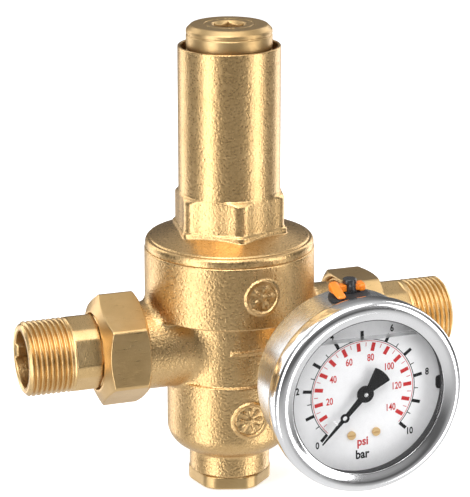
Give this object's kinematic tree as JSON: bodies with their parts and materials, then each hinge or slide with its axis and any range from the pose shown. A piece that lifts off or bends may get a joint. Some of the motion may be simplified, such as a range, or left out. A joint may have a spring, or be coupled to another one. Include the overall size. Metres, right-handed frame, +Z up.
{
  "type": "pressure reducing valve",
  "caption": "Inline diaphragm pressure reducing valve in cast brass with threaded union ends, an adjusting screw on a tall bonnet and a round dial pressure gauge on the outlet side.",
  "frame": {"origin": "centre of the inlet tailpiece's end face, on the flow axis", "axes": "+X along the flow from inlet to outlet, +Z up the spindle towards the adjusting screw, -Y towards the gauge's dial"},
  "size_m": [0.16, 0.1029, 0.1683],
  "materials": {
    "brass_cast": "shot-blasted cast brass with a fine grain",
    "brass_turned": "machined brass, fine tool marks",
    "brass_forged": "forged and machined brass, satin",
    "stainless_polished": "polished stainless steel",
    "stainless_satin": "satin stainless steel",
    "spring_steel": "drawn steel wire",
    "rubber_black": "matte black rubber",
    "fibre": "pressed fibre gasket",
    "glass_clear": "clear laminated glass",
    "dial_white": "white enamelled aluminium with printed scales",
    "pointer_black": "black enamelled aluminium",
    "plastic_black": "moulded black plastic",
    "plastic_orange": "moulded orange plastic"
  },
  "bodies": {
    "valve": {"body": "brass_cast", "bonnet": "brass_cast", "slip_ring": "brass_turned", "diaphragm": "rubber_black", "spring": "spring_steel", "stem_o_ring": "rubber_black", "seat_ring": "stainless_satin", "seat_o_ring": "rubber_black", "strainer": "stainless_satin", "bottom_plug": "brass_turned", "bottom_plug_o_ring": "rubber_black", "inlet_gasket": "fibre", "inlet_tailpiece": "brass_turned", "outlet_gasket": "fibre", "outlet_tailpiece": "brass_turned", "gauge_socket": "brass_turned", "gauge_case": "stainless_satin", "bezel_ring": "stainless_polished", "window": "glass_clear", "window_seal": "rubber_black", "dial": "dial_white", "dial_screws": "brass_turned", "bourdon_tube": "brass_turned", "back_plate": "brass_turned", "front_plate": "brass_turned", "plate_pillars": "brass_turned", "hairspring": "spring_steel", "vent_grommet": "rubber_black"},
    "spring_seat": {"upper_spring_seat": "stainless_satin"},
    "screw": {"adjusting_screw": "brass_turned"},
    "regulator": {"diaphragm_upper_plate": "stainless_satin", "diaphragm_lower_plate": "brass_turned", "stem": "stainless_satin", "stem_nut": "stainless_satin", "obturator": "brass_turned", "obturator_seal": "rubber_black", "obturator_nut": "stainless_satin", "piston_o_ring": "rubber_black"},
    "inlet_union": {"inlet_nut": "brass_forged"},
    "outlet_union": {"outlet_nut": "brass_forged"},
    "pointer_spindle": {"pointer": "pointer_black", "pinion_shaft": "stainless_satin"},
    "sector": {"sector_gear": "brass_turned"},
    "link": {"link": "stainless_satin"},
    "tube_end": {"tube_tip": "brass_turned"},
    "vent_valve": {"vent_post": "plastic_black", "vent_lever": "plastic_orange"}
  },
  "joints": [
    {"name": "seat_slide", "type": "slide", "parent": "valve", "child": "spring_seat", "axis": [0, 0, 1], "range_m": [-0.006, 0.0045], "deforming": ["spring"]},
    {"name": "screw_turn", "type": "hinge", "parent": "spring_seat", "child": "screw", "pos_m": [0.077, 0, 0.1], "axis": [0, 0, 1], "range_deg": [-1440, 1080]},
    {"name": "regulator_slide", "type": "slide", "parent": "valve", "child": "regulator", "axis": [0, 0, 1], "range_m": [0, 0.0028], "stiffness_N_per_m": 1500, "deforming": ["diaphragm", "spring"]},
    {"name": "inlet_nut_turn", "type": "hinge", "parent": "valve", "child": "inlet_union", "pos_m": [0.035, 0, 0], "axis": [-1, 0, 0], "range_deg": [0, 1650]},
    {"name": "outlet_nut_turn", "type": "hinge", "parent": "valve", "child": "outlet_union", "pos_m": [0.125, 0, 0], "axis": [1, 0, 0], "range_deg": [0, 1650]},
    {"name": "sector_swing", "type": "hinge", "parent": "valve", "child": "sector", "pos_m": [0.10236, -0.0604, -0.01844], "axis": [0, -1, 0], "range_deg": [0, 45.01]},
    {"name": "pointer_spin", "type": "hinge", "parent": "valve", "child": "pointer_spindle", "pos_m": [0.1018, -0.064, -0.0016], "axis": [0, 1, 0], "range_deg": [0, 270.06]},
    {"name": "link_swing", "type": "hinge", "parent": "sector", "child": "link", "pos_m": [0.10467, -0.06115, -0.02398], "axis": [0, -1, 0], "range_deg": [-45.01, 0]},
    {"name": "tube_end_slide", "type": "slide", "parent": "valve", "child": "tube_end", "axis": [0.7046, 0, 0.7096], "range_m": [0, 0.00459], "deforming": ["bourdon_tube"]},
    {"name": "vent_turn", "type": "hinge", "parent": "valve", "child": "vent_valve", "pos_m": [0.10071, -0.055, 0.03138], "axis": [0.0332, 0, -0.9995], "range_deg": [0, 90]}
  ],
  "couplings": [
    {"joint": "seat_slide", "follows": "screw_turn", "m_per_rad": 0.00023873},
    {"joint": "sector_swing", "follows": "tube_end_slide", "rad_per_m": 171.04},
    {"joint": "pointer_spin", "follows": "tube_end_slide", "rad_per_m": 1026.2},
    {"joint": "link_swing", "follows": "tube_end_slide", "rad_per_m": -171.04}
  ]
}
